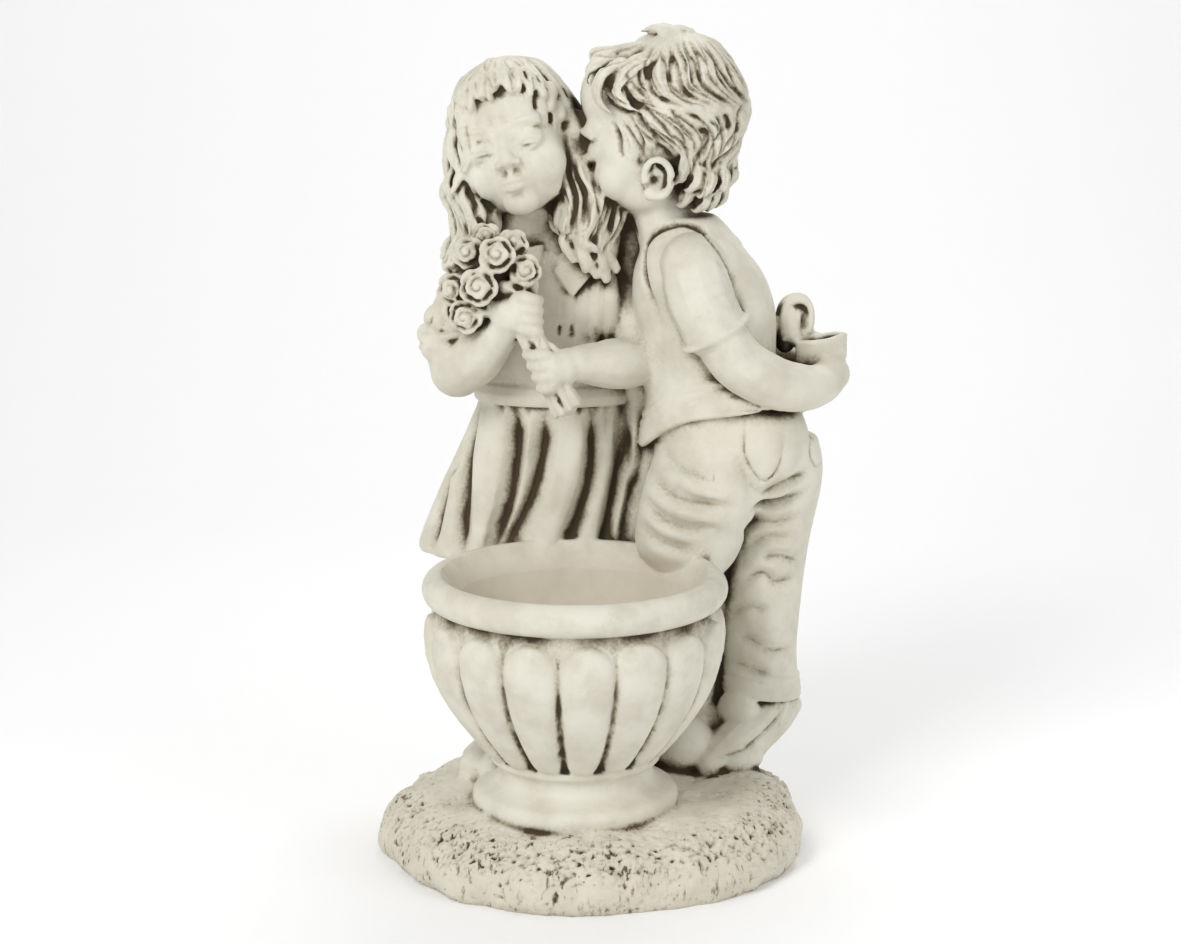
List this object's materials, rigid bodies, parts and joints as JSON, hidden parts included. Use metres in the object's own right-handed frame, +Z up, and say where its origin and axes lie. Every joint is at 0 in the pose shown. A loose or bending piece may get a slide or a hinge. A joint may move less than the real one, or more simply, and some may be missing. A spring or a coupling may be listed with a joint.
{
  "type": "garden statue",
  "caption": "Freestanding cast stone garden statue of two children embracing behind a fluted bowl that can hold plants or bird seed, on a rock mound base.",
  "frame": {"origin": "a point on the flat underside, below the middle of the rock mound's width, 16 mm in front of the middle of its depth", "axes": "+Z up, -Y towards the viewer (the bowl's side), +X to the viewer's right (the boy's side)"},
  "size_m": [0.3146, 0.2911, 0.5418],
  "materials": {
    "cast_stone": "matte off-white cast stone with a dark umber wash left in the hollows and fine speckle"
  },
  "bodies": {
    "root": {"statue": "cast_stone"}
  },
  "joints": []
}
